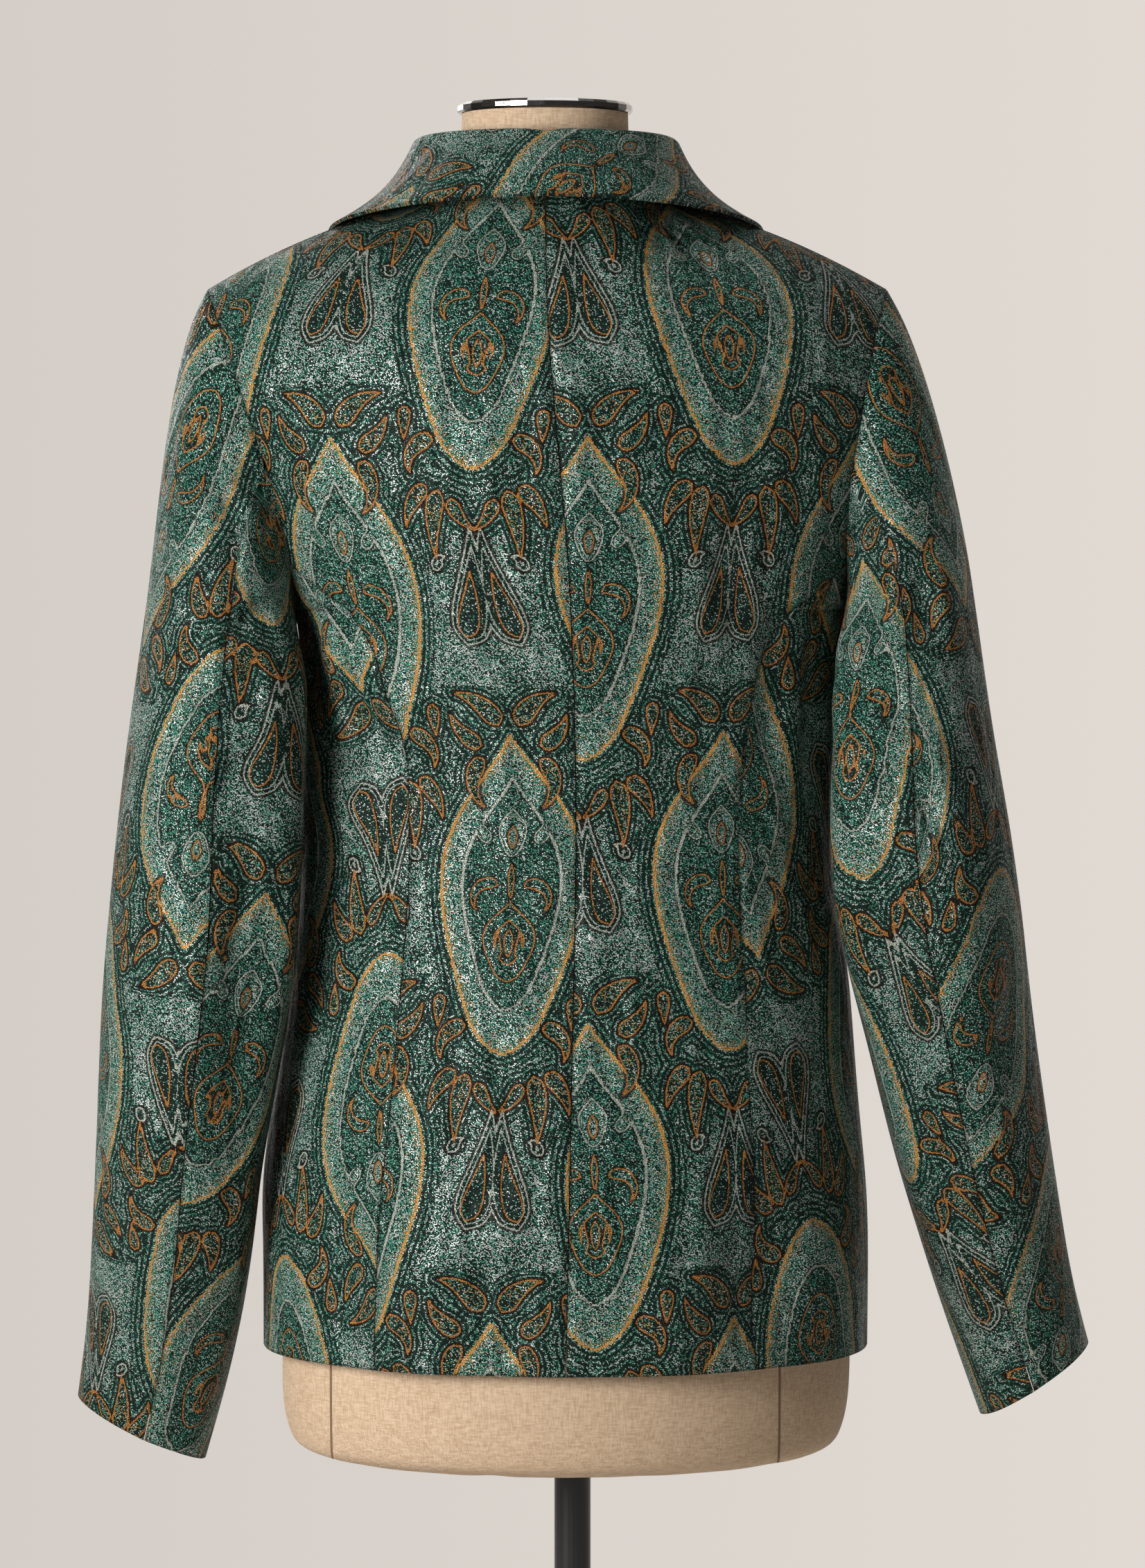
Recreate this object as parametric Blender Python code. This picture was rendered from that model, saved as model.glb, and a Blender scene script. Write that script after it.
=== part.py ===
"""A tailored jacquard blazer on a limbless linen dress form.

Metres, +Z up. The origin is on the floor under the pole. The blazer's front faces -Y, its back
+Y, and the wearer's left is +X. Each cut piece of cloth is a closed wall of its own.
"""

import math
from collections import namedtuple

import bmesh
import bpy
from mathutils import Vector

for old_object in list(bpy.data.objects):
    bpy.data.objects.remove(old_object, do_unlink=True)

# Cloth
WALL = 0.0020
SEAM_TRIM = 0.00026
POINT_DIGITS = 5  # points are kept to a hundredth of a millimetre
OVERLAP = 0.018
UNDERLAP = 0.0032

# Garment heights
HEM_HEIGHT = 0.787
ARMPIT_HEIGHT = 1.213
SHOULDER_HEIGHT = 1.397
TOP_HEIGHT = 1.455
BREAK_HEIGHT = 1.130
LAPEL_TOP = 1.392
NECK_BLEND = 1.375

# Garment widths
NECK_HALF = 0.070
ARMHOLE_DEPTH = 0.054
LAPEL_WIDTH = 0.074

# Dress form and stand
FORM_BOTTOM = 0.725
NECK_TOP = 1.4975
RING_RADIUS = 0.0506
RING_HEIGHT = 0.0055
SHOULDER_SEAT = 0.0004
POLE_RADIUS = 0.0105
FOOT_RADIUS = 0.175
FOOT_HEIGHT = 0.012
HUB_RADIUS = 0.022
HUB_HEIGHT = 0.045
SEAT_GAP = 0.0003

# Sections of the garment from the hem up: half width at the side seam, how far the middle of
# the back and of the front lie from the axis, and how far round the section turns.
Section = namedtuple("Section", "height half back front turn")
BODY = (
    Section(0.787, 0.1745, 0.138, -0.124, 90.0),
    Section(0.873, 0.1690, 0.137, -0.125, 90.0),
    Section(0.928, 0.1610, 0.128, -0.122, 90.0),
    Section(1.004, 0.1525, 0.108, -0.115, 90.0),
    Section(1.100, 0.1410, 0.095, -0.112, 90.0),
    Section(1.172, 0.1464, 0.104, -0.132, 90.0),
    Section(1.213, 0.1544, 0.111, -0.144, 90.0),
    Section(1.300, 0.1670, 0.116, -0.136, 66.0),
    Section(1.370, 0.1860, 0.106, -0.112, 54.0),
    Section(1.415, 0.1920, 0.088, -0.088, 46.0),
    Section(1.455, 0.1955, 0.064, -0.062, 40.0),
)

# How much further out than its section each side of the garment hangs, by height.
Hang = namedtuple("Hang", "height left right")
HANG = (
    Hang(0.787, 0.0010, 0.0000),
    Hang(0.850, 0.0060, 0.0030),
    Hang(0.900, 0.0115, 0.0045),
    Hang(0.960, 0.0108, 0.0060),
    Hang(1.004, 0.0100, 0.0065),
    Hang(1.060, 0.0150, 0.0040),
    Hang(1.100, 0.0190, 0.0080),
    Hang(1.137, 0.0150, 0.0090),
    Hang(1.172, 0.0100, 0.0075),
    Hang(1.213, 0.0040, 0.0040),
    Hang(1.260, 0.0004, 0.0004),
    Hang(1.275, 0.0000, 0.0000),
)

# Half width of the garment along the armhole, by height.
Reach = namedtuple("Reach", "height half")
ARMHOLE = (
    Reach(1.213, 0.1544),
    Reach(1.244, 0.1576),
    Reach(1.274, 0.1614),
    Reach(1.327, 0.1753),
    Reach(1.353, 0.1810),
    Reach(1.397, 0.1955),
)

# The form stands a little askew, so its middle wanders sideways with height.
Sway = namedtuple("Sway", "height offset")
SWAY = (
    Sway(0.700, 0.0048),
    Sway(0.787, 0.0036),
    Sway(0.950, 0.0005),
    Sway(1.100, -0.0020),
    Sway(1.213, 0.0010),
    Sway(1.397, 0.0146),
    Sway(1.510, 0.0160),
)

# Back princess seam: its share of the way from the centre back to the side, by height.
Seam = namedtuple("Seam", "height share")
PRINCESS = (
    Seam(0.787, 0.420),
    Seam(0.900, 0.425),
    Seam(1.000, 0.430),
    Seam(1.100, 0.445),
    Seam(1.165, 0.480),
    Seam(1.205, 0.560),
    Seam(1.232, 0.680),
    Seam(1.254, 0.830),
    Seam(1.266, 0.930),
    Seam(1.274, 1.000),
)

# Sleeves from under the cap to the cuff: the inner and the outer edge as the back view shows
# them, the middle's place front to back, and the half depth.
Ring = namedtuple("Ring", "inner inner_z outer outer_z middle depth")
LEFT_SLEEVE = (
    Ring(0.1590, 1.1600, 0.2456, 1.2088, 0.014, 0.0740),
    Ring(0.1585, 1.1048, 0.2560, 1.1288, 0.029, 0.0700),
    Ring(0.1572, 1.0300, 0.2644, 1.0488, 0.033, 0.0650),
    Ring(0.1642, 0.9688, 0.2696, 0.9848, 0.036, 0.0610),
    Ring(0.1768, 0.9008, 0.2724, 0.9208, 0.032, 0.0570),
    Ring(0.1850, 0.8390, 0.2766, 0.8630, 0.012, 0.0530),
    Ring(0.1978, 0.7750, 0.2820, 0.8010, -0.010, 0.0490),
    Ring(0.2142, 0.7175, 0.2888, 0.7545, -0.024, 0.0465),
)
RIGHT_SLEEVE = (
    Ring(0.1565, 1.1728, 0.2300, 1.2248, 0.012, 0.0740),
    Ring(0.1520, 1.1248, 0.2400, 1.1448, 0.034, 0.0710),
    Ring(0.1472, 1.0728, 0.2496, 1.0888, 0.040, 0.0680),
    Ring(0.1550, 1.0168, 0.2576, 1.0328, 0.036, 0.0640),
    Ring(0.1680, 0.9688, 0.2640, 0.9848, 0.022, 0.0610),
    Ring(0.1845, 0.9040, 0.2742, 0.9200, 0.004, 0.0570),
    Ring(0.1990, 0.8568, 0.2826, 0.8708, -0.010, 0.0535),
    Ring(0.2160, 0.8050, 0.2912, 0.8250, -0.023, 0.0500),
    Ring(0.2388, 0.7415, 0.3022, 0.7840, -0.036, 0.0465),
)
NESTLE = 0.018  # how far the cloth behind the arm swings in towards the back
NESTLE_RINGS = 8
CAP_ROWS = 8
RING_STEPS = 2
HIND_ROW = 1.325
FORE_ROW = 1.295

# Collar from the centre back to its front end, on one side: where its stand starts, how far the
# stand rises to the fold, and where its outer edge ends.
Station = namedtuple("Station", "seam_x seam_y seam_z rise edge_x edge_y edge_z bow")
COLLAR = (
    Station(0.0000, 0.0632, 1.4553, 0.0268, 0.0000, 0.1035, 1.4445, 0.0040),
    Station(0.0080, 0.0628, 1.4553, 0.0287, 0.0110, 0.1030, 1.4445, 0.0040),
    Station(0.0230, 0.0597, 1.4546, 0.0294, 0.0330, 0.0985, 1.4440, 0.0035),
    Station(0.0430, 0.0500, 1.4527, 0.0313, 0.0640, 0.0850, 1.4425, 0.0020),
    Station(0.0590, 0.0340, 1.4503, 0.0334, 0.0930, 0.0590, 1.4400, -0.0010),
    Station(0.0680, 0.0160, 1.4487, 0.0343, 0.1150, 0.0260, 1.4365, -0.0040),
    Station(0.0712, -0.0010, 1.4481, 0.0330, 0.1255, -0.0060, 1.4330, -0.0050),
    Station(0.0694, -0.0280, 1.4436, 0.0275, 0.1265, -0.0340, 1.4270, -0.0030),
    Station(0.0663, -0.0503, 1.4344, 0.0210, 0.1255, -0.0560, 1.4150, 0.0010),
    Station(0.0610, -0.0750, 1.4160, 0.0140, 0.1200, -0.0755, 1.3985, 0.0030),
    Station(0.0549, -0.0933, 1.3955, 0.0085, 0.1100, -0.0885, 1.3885, 0.0040),
)
FOLD_RADIUS = 0.0034
FALL_STEPS = 6

# Largest soft folds: a place on the cloth, its slant, half length, half width and height.
Fold = namedtuple("Fold", "across along slant length width height")
BACK_FOLDS = (
    Fold(0.105, 1.135, 62.0, 0.050, 0.011, -0.0026),
    Fold(-0.110, 1.120, -58.0, 0.050, 0.011, -0.0026),
    Fold(0.060, 1.075, 78.0, 0.060, 0.012, 0.0018),
    Fold(-0.062, 1.070, -80.0, 0.060, 0.012, 0.0018),
    Fold(-0.148, 1.290, 6.0, 0.060, 0.010, 0.0030),
    Fold(0.146, 1.285, -8.0, 0.060, 0.010, 0.0028),
    Fold(-0.060, 0.850, 3.0, 0.080, 0.030, 0.0030),
    Fold(0.078, 0.850, -4.0, 0.080, 0.030, 0.0030),
)
FRONT_FOLDS = (
    Fold(0.095, 1.110, 66.0, 0.050, 0.012, -0.0024),
    Fold(-0.095, 1.110, -66.0, 0.050, 0.012, -0.0024),
)
LEFT_SLEEVE_FOLDS = (
    Fold(0.060, 1.270, -28.0, 0.055, 0.008, -0.0045),
    Fold(0.090, 1.250, -24.0, 0.060, 0.009, 0.0040),
    Fold(0.050, 1.045, 70.0, 0.040, 0.010, -0.0040),
    Fold(0.075, 1.015, 62.0, 0.045, 0.011, 0.0035),
    Fold(0.055, 0.975, 68.0, 0.040, 0.010, -0.0035),
    Fold(0.110, 0.900, 12.0, 0.090, 0.014, 0.0030),
)
RIGHT_SLEEVE_FOLDS = (
    Fold(0.062, 1.240, 10.0, 0.080, 0.009, -0.0040),
    Fold(0.086, 1.220, 8.0, 0.100, 0.010, 0.0040),
    Fold(0.060, 1.060, -66.0, 0.040, 0.010, -0.0038),
    Fold(0.085, 1.030, -60.0, 0.045, 0.011, 0.0034),
    Fold(0.060, 0.990, -66.0, 0.040, 0.010, -0.0035),
    Fold(0.118, 0.900, -6.0, 0.100, 0.014, 0.0034),
)

# Dress form from its bottom edge to the chest: half width and the middles of back and front.
FormSection = namedtuple("FormSection", "height half back front")
FORM = (
    FormSection(0.737, 0.1600, 0.1210, -0.1050),
    FormSection(0.754, 0.1645, 0.1260, -0.1090),
    FormSection(0.790, 0.1650, 0.1270, -0.1110),
    FormSection(0.873, 0.1595, 0.1240, -0.1110),
    FormSection(0.928, 0.1520, 0.1150, -0.1080),
    FormSection(1.004, 0.1400, 0.0930, -0.1000),
    FormSection(1.100, 0.1260, 0.0790, -0.0950),
    FormSection(1.172, 0.1330, 0.0890, -0.1140),
    FormSection(1.213, 0.1410, 0.0980, -0.1270),
)
FORM_EASE_CHEST = 0.0110
FORM_EASE_SHOULDER = 0.0030
FORM_ROWS = (
    0.737, 0.754, 0.785, 0.830, 0.880, 0.935, 0.995, 1.050, 1.100, 1.150, 1.213,
    1.245, 1.285, 1.325, 1.360, 1.390, 1.415, 1.428, 1.438,
)
FORM_EDGE = ((0.0045, 0.0045), (0.0, 0.0160))
NECK_STEPS = 4
NECK = ((0.0560, 1.4530), (0.0512, 1.4700), (0.0503, 1.4840), (0.0500, NECK_TOP))

# Buttons on the front edge.
BUTTON_RADIUS = 0.0105
BUTTON_HEIGHT = 0.0036
BUTTON_ROWS = (10, 7)

COLOURS = {
    "cloth": (0.10, 0.14, 0.12, 1.0),
    "linen": (0.55, 0.43, 0.31, 1.0),
    "chrome": (0.75, 0.75, 0.76, 1.0),
    "black steel": (0.03, 0.03, 0.03, 1.0),
    "horn": (0.05, 0.06, 0.05, 1.0),
}


def along_table(rows, column, place):
    """Value of a table's column at a place, by a monotone cubic through its rows."""
    knots = [row[0] for row in rows]
    values = [getattr(row, column) for row in rows]
    place = min(max(place, knots[0]), knots[-1])
    steps = [b - a for a, b in zip(knots, knots[1:])]
    rates = [(b - a) / step for a, b, step in zip(values, values[1:], steps)]
    slopes = [rates[0]]
    for before, after in zip(rates, rates[1:]):
        slopes.append(2 * before * after / (before + after) if before * after > 0 else 0.0)
    slopes.append(rates[-1])
    index = max(i for i in range(len(steps)) if knots[i] <= place)
    step = steps[index]
    t = (place - knots[index]) / step
    start = values[index] * (2 * t ** 3 - 3 * t ** 2 + 1) + slopes[index] * step * (t ** 3 - 2 * t ** 2 + t)
    end = values[index + 1] * (3 * t ** 2 - 2 * t ** 3) + slopes[index + 1] * step * (t ** 3 - t ** 2)
    return start + end


def sway(height):
    """Sideways place of the form's middle at a height."""
    return along_table(SWAY, "offset", height)


def fold_push(folds, across, along):
    """How far the soft folds lift the cloth at a place."""
    push = 0.0
    for fold in folds:
        slant = math.radians(fold.slant)
        side = across - fold.across
        up = along - fold.along
        run = side * math.sin(slant) + up * math.cos(slant)
        off = side * math.cos(slant) - up * math.sin(slant)
        push += fold.height * math.exp(-(run / fold.length) ** 2 - (off / fold.width) ** 2)
    return push


def inward(point):
    """Direction from a place on the garment's body to its inside."""
    rise = max(0.0, point.z - ARMPIT_HEIGHT)
    depth = point.z - 0.7 * rise
    target = Vector((sway(depth) + 0.45 * (point.x - sway(point.z)), 0.0, depth))
    return (target - point).normalized()


def body_edge(face, height):
    """The side seam or, above the armpit, the armhole, for a section's height."""
    if height <= ARMPIT_HEIGHT:
        return along_table(BODY, "half", height), 0.0, height
    turn = math.pi * (height - ARMPIT_HEIGHT) / (TOP_HEIGHT - ARMPIT_HEIGHT)
    middle = (ARMPIT_HEIGHT + SHOULDER_HEIGHT) / 2
    edge_z = middle - (SHOULDER_HEIGHT - middle) * math.cos(turn)
    return along_table(ARMHOLE, "half", edge_z), face * ARMHOLE_DEPTH * math.sin(turn), edge_z


def body_point(face, side, share, height):
    """Place on the garment's skin: the back or front face, from the middle out to the edge."""
    edge_x, edge_y, edge_z = body_edge(face, height)
    middle = along_table(BODY, "back" if face > 0 else "front", height)
    turn = math.radians(along_table(BODY, "turn", height))
    angle = share * turn
    x = edge_x * math.sin(angle) / math.sin(turn)
    fall = (math.cos(angle) - math.cos(turn)) / (1 - math.cos(turn))
    round_y = edge_y + (middle - edge_y) * fall
    neck_y = middle * math.sqrt(max(0.0, 1 - (x / NECK_HALF) ** 2))
    climb = min(max((height - NECK_BLEND) / (TOP_HEIGHT - NECK_BLEND), 0.0), 1.0)
    y = neck_y + (round_y - neck_y) * math.sqrt(1 - climb ** 2)
    z = height + (edge_z - height) * (x / edge_x) ** 2
    x += along_table(HANG, "left" if side > 0 else "right", z) * (x / edge_x) ** 4
    point = Vector((side * x + sway(z), y, z))
    folds = BACK_FOLDS if face > 0 else FRONT_FOLDS
    return point - inward(point) * fold_push(folds, side * x, z)


def share_at(height, x):
    """Share of the way round a section where it is x from the middle."""
    edge_x = body_edge(1, height)[0]
    turn = math.radians(along_table(BODY, "turn", height))
    return math.asin(min(max(x / edge_x * math.sin(turn), -1.0), 1.0)) / turn


def front_point(side, share, height):
    """Place on a front panel; the left one passes under the right one at the middle."""
    point = body_point(-1, side, share, height)
    if side > 0:
        reach = point.x - sway(point.z)
        tuck = min(max((0.060 - reach) / 0.035, 0.0), 1.0)
        point += inward(point) * UNDERLAP * tuck * tuck * (3 - 2 * tuck)
    return point


def roll_x(height):
    """Front edge of a front panel: straight to the break, then along the roll line."""
    rise = max(0.0, (height - BREAK_HEIGHT) / (TOP_HEIGHT - BREAK_HEIGHT))
    return -OVERLAP + (NECK_HALF + 0.001 + OVERLAP) * rise


def finish(name, mesh_data, colour, metallic=0.0, roughness=0.7):
    """Object of its own with its own plain material."""
    for vert in mesh_data.verts:
        vert.co = [round(value, POINT_DIGITS) for value in vert.co]
    bmesh.ops.recalc_face_normals(mesh_data, faces=mesh_data.faces)
    if mesh_data.calc_volume(signed=True) < 0:
        bmesh.ops.reverse_faces(mesh_data, faces=mesh_data.faces)
    mesh = bpy.data.meshes.new(name)
    mesh_data.to_mesh(mesh)
    mesh_data.free()
    material = bpy.data.materials.new(name)
    material.use_nodes = True
    shader = material.node_tree.nodes["Principled BSDF"]
    shader.inputs["Base Color"].default_value = COLOURS[colour]
    shader.inputs["Metallic"].default_value = metallic
    shader.inputs["Roughness"].default_value = roughness
    mesh.materials.append(material)
    built = bpy.data.objects.new(name, mesh)
    bpy.context.collection.objects.link(built)
    return built


def trimmed(rows):
    """Grid of points with its four edges drawn in by half a seam's gap."""
    rows = [list(row) for row in rows]
    for row in rows:
        first = row[0] + (row[1] - row[0]).normalized() * SEAM_TRIM
        last = row[-1] + (row[-2] - row[-1]).normalized() * SEAM_TRIM
        row[0], row[-1] = first, last
    for column in range(len(rows[0])):
        low = (rows[1][column] - rows[0][column]).normalized() * SEAM_TRIM
        high = (rows[-2][column] - rows[-1][column]).normalized() * SEAM_TRIM
        rows[0][column] = rows[0][column] + low
        rows[-1][column] = rows[-1][column] + high
    return rows


def cloth_wall(name, outer, inner):
    """Closed wall of cloth between an outer and an inner grid of points."""
    mesh_data = bmesh.new()
    skins = []
    for rows in (trimmed(outer), trimmed(inner)):
        skins.append([[mesh_data.verts.new(point) for point in row] for row in rows])
    height, width = len(outer), len(outer[0])
    for skin in skins:
        for i in range(height - 1):
            for j in range(width - 1):
                mesh_data.faces.new((skin[i][j], skin[i][j + 1], skin[i + 1][j + 1], skin[i + 1][j]))
    rim = [(0, j) for j in range(width - 1)] + [(i, width - 1) for i in range(height - 1)]
    rim += [(height - 1, j) for j in range(width - 1, 0, -1)] + [(i, 0) for i in range(height - 1, 0, -1)]
    for (i, j), (k, m) in zip(rim, rim[1:] + rim[:1]):
        mesh_data.faces.new((skins[0][i][j], skins[0][k][m], skins[1][k][m], skins[1][i][j]))
    return finish(name, mesh_data, "cloth", roughness=0.75)


def body_wall(name, outer):
    """Wall of a body panel, its inside found along the garment's inward direction."""
    return cloth_wall(name, outer, [[p + inward(p) * WALL for p in row] for row in outer])


def spread(start, end, count):
    """Evenly spaced values, both ends counted."""
    return [start + (end - start) * i / (count - 1) for i in range(count)]


# Heights of the panels' rows, the same on every panel that shares a seam.
LOW_ROWS = spread(HEM_HEIGHT, 1.185, 14)
ARM_ROWS = [1.213, 1.224, 1.238, 1.254, 1.266, 1.274, 1.295, 1.325, 1.355, 1.380, 1.402]
TOP_ROWS = [1.422, 1.438, 1.449, 1.455]
BODY_ROWS = LOW_ROWS + [1.200] + ARM_ROWS + TOP_ROWS


def princess_share(height):
    """Where the back princess seam crosses a row; above it the back reaches the armhole."""
    return along_table(PRINCESS, "share", height)


# Back and side-back panels
for side, hand in ((1, "left"), (-1, "right")):
    rows = []
    for height in BODY_ROWS:
        shares = spread(0.0, princess_share(height), 9)
        if height > NECK_BLEND:
            neck_share = share_at(height, NECK_HALF)
            shares = spread(0.0, neck_share, 5)[:-1] + spread(neck_share, 1.0, 5)
        rows.append([body_point(1, side, share, height) for share in shares])
    body_wall("back_" + hand, rows)
    rows = []
    for height in [row for row in BODY_ROWS if row < PRINCESS[-1].height]:
        shares = spread(princess_share(height), 1.0, 6)
        end = PRINCESS[-1].height if height == PRINCESS[-2].height else height
        levels = spread(height, end, 6)
        rows.append([body_point(1, side, share, level) for share, level in zip(shares, levels)])
    body_wall("side_back_" + hand, rows)

# Fronts, with the lapels turned back on them
for side, hand in ((1, "left"), (-1, "right")):
    rows = []
    for height in BODY_ROWS:
        start = share_at(height, roll_x(height))
        rows.append([front_point(side, share, height) for share in spread(start, 1.0, 10)])
    body_wall("front_" + hand, rows)
    outer, inner = [], []
    for height in spread(BREAK_HEIGHT + (0.040 if side > 0 else 0.004), LAPEL_TOP, 13):
        rise = (height - BREAK_HEIGHT) / (LAPEL_TOP - BREAK_HEIGHT)
        end = roll_x(height) + 0.006 + (LAPEL_WIDTH - 0.006) * rise ** 0.8
        start = max(roll_x(height), 0.0035 - roll_x(height)) if side > 0 else roll_x(height)
        skin, lining = [], []
        for part in spread(0.0, 1.0, 6):
            level = height - 0.016 * part * max(0.0, rise - 0.85) / 0.15
            base = front_point(side, share_at(level, start + (end - start) * part), level)
            lift = 0.0008 + 0.0050 * math.sin(math.pi * min(part * 1.15, 1.0)) * rise ** 0.5
            lining.append(base - inward(base) * lift)
            skin.append(base - inward(base) * (lift + WALL))
        outer.append(skin)
        inner.append(lining)
    cloth_wall("lapel_" + hand, outer, inner)


def section_loop(station):
    """Closed outline of the collar's wall at a station, from the seam over the fold to its edge."""
    run = math.hypot(station.edge_x - station.seam_x, station.edge_y - station.seam_y)
    drop = station.edge_z - station.seam_z
    top = station.rise - FOLD_RADIUS
    line = [(0.0, 0.0), (-0.0006, top * 0.5), (0.0, top)]
    for turn in (45.0, 90.0, 135.0):
        angle = math.radians(turn)
        line.append((FOLD_RADIUS * (1 - math.cos(angle)), top + FOLD_RADIUS * math.sin(angle)))
    fold_end = (2 * FOLD_RADIUS, top)
    for part in spread(0.0, 1.0, FALL_STEPS):
        bow = station.bow * math.sin(math.pi * part)
        across = fold_end[0] + (run - fold_end[0]) * part ** 1.15
        line.append((across + bow * 0.5, fold_end[1] + (drop - fold_end[1]) * part + bow))
    loop, back = [], []
    for i, (across, up) in enumerate(line):
        before, after = line[max(i - 1, 0)], line[min(i + 1, len(line) - 1)]
        ahead = Vector((after[0] - before[0], after[1] - before[1])).normalized()
        loop.append((across - ahead.y * WALL / 2, up + ahead.x * WALL / 2))
        back.append((across + ahead.y * WALL / 2, up - ahead.x * WALL / 2))
    return loop + back[::-1]


# Collar
stations = [(-1, station) for station in COLLAR[:0:-1]] + [(1, station) for station in COLLAR]
collar_data = bmesh.new()
loops = []
for side, station in stations:
    heading = Vector((side * (station.edge_x - station.seam_x), station.edge_y - station.seam_y, 0.0))
    heading.normalize()
    foot = Vector((side * station.seam_x + sway(station.seam_z), station.seam_y, station.seam_z))
    loops.append([
        collar_data.verts.new(foot + heading * across + Vector((0.0, 0.0, up)))
        for across, up in section_loop(station)
    ])
for loop, following in zip(loops, loops[1:]):
    for i in range(len(loop)):
        j = (i + 1) % len(loop)
        collar_data.faces.new((loop[i], loop[j], following[j], following[i]))
half_loop = len(loops[0]) // 2
for loop in (loops[0], loops[-1]):
    for i in range(half_loop - 1):
        collar_data.faces.new((loop[i], loop[i + 1], loop[-2 - i], loop[-1 - i]))
finish("collar", collar_data, "cloth", roughness=0.75)


def sleeve_place(rings, side, folds, turn, row):
    """Place on a sleeve below its cap, and the direction to the inside there."""
    inner = along_table(rings, "inner", row)
    inner_z = along_table(rings, "inner_z", row)
    outer = along_table(rings, "outer", row)
    outer_z = along_table(rings, "outer_z", row)
    depth = along_table(rings, "depth", row)
    across = Vector((side * (outer - inner) / 2, 0.0, (outer_z - inner_z) / 2))
    middle = Vector((side * (outer + inner) / 2, along_table(rings, "middle", row), (outer_z + inner_z) / 2))
    point = middle - across * math.cos(turn) + Vector((0.0, depth * math.sin(turn), 0.0))
    outward = -across.normalized() * (math.cos(turn) / across.length)
    outward += Vector((0.0, math.sin(turn) / depth, 0.0))
    outward.normalize()
    if turn < math.pi / 2:
        point.x -= side * NESTLE * math.sin(2 * turn) ** 2 * max(0.0, 1 - row / NESTLE_RINGS)
    return point + outward * fold_push(folds, turn * 0.060, point.z), -outward


NumberedRing = namedtuple("NumberedRing", ("number",) + Ring._fields)
ARM_STOPS = [(1, height) for height in ARM_ROWS + TOP_ROWS]
ARM_STOPS += [(-1, height) for height in (ARM_ROWS + TOP_ROWS)[-2:0:-1]]
SLEEVES = (
    (1, "left", LEFT_SLEEVE, LEFT_SLEEVE_FOLDS),
    (-1, "right", RIGHT_SLEEVE, RIGHT_SLEEVE_FOLDS),
)

# Sleeves: a cap from the armhole to the first ring, then ring by ring to the cuff
for side, hand, table, folds in SLEEVES:
    rings = [NumberedRing(float(i), *ring) for i, ring in enumerate(table)]
    columns = []
    for face, height in ARM_STOPS:
        climb = (height - ARMPIT_HEIGHT) / (TOP_HEIGHT - ARMPIT_HEIGHT)
        turn = math.pi * climb if face > 0 else math.pi * (2 - climb)
        start = body_point(face, side, 1.0, height)
        start_in = inward(start)
        end, end_in = sleeve_place(rings, side, (), turn, 0.0)
        ahead = sleeve_place(rings, side, (), turn, 0.4)[0] - end
        span = (end - start).length
        lift = (1 - math.cos(turn)) / 2
        leave = Vector((side * (0.25 + 0.11 * lift), 0.22 * math.sin(turn), -0.85 + 0.35 * lift)) * span
        arrive = ahead.normalized() * span * 0.9
        column = []
        for row in range(CAP_ROWS):
            t = row / CAP_ROWS
            point = start * (2 * t ** 3 - 3 * t ** 2 + 1) + leave * (t ** 3 - 2 * t ** 2 + t)
            point += end * (3 * t ** 2 - 2 * t ** 3) + arrive * (t ** 3 - t ** 2)
            turn_in = (start_in * (1 - t) + end_in * t).normalized()
            ease = min(t * 2.5, 1.0)
            point = point - turn_in * fold_push(folds, turn * 0.060, point.z) * ease
            column.append((point, point + turn_in * WALL))
        steps = (len(rings) - 1) * RING_STEPS
        for row in range(steps + 1):
            point, point_in = sleeve_place(rings, side, folds, turn, row / RING_STEPS)
            column.append((point, point + point_in * WALL))
        columns.append(column)
    hind, fore = ARM_STOPS.index((1, HIND_ROW)), ARM_STOPS.index((-1, FORE_ROW))
    upper = list(range(hind, fore + 1))
    under = list(range(fore, len(ARM_STOPS))) + list(range(0, hind + 1))
    for name, picks in (("upper_sleeve_", upper), ("under_sleeve_", under)):
        grids = []
        for skin in (0, 1):
            rows = range(len(columns[0]))[::side]
            grids.append([[columns[k][row][skin] for k in picks] for row in rows])
        cloth_wall(name + hand, *grids)


def turned(name, outline, centre, colour, sides, metallic=0.0, roughness=0.4):
    """Solid of revolution about a vertical line, from (radius, height) points, ends on the line."""
    mesh_data = bmesh.new()
    low = mesh_data.verts.new(Vector((centre[0], centre[1], outline[0][1])))
    high = mesh_data.verts.new(Vector((centre[0], centre[1], outline[-1][1])))
    rings = []
    for radius, height in outline[1:-1]:
        ring = []
        for k in range(sides):
            angle = 2 * math.pi * k / sides
            spot = (centre[0] + radius * math.cos(angle), centre[1] + radius * math.sin(angle), height)
            ring.append(mesh_data.verts.new(spot))
        rings.append(ring)
    for k in range(sides):
        j = (k + 1) % sides
        mesh_data.faces.new((low, rings[0][j], rings[0][k]))
        mesh_data.faces.new((high, rings[-1][k], rings[-1][j]))
        for ring, following in zip(rings, rings[1:]):
            mesh_data.faces.new((ring[k], ring[j], following[j], following[k]))
    return finish(name, mesh_data, colour, metallic, roughness)


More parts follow.
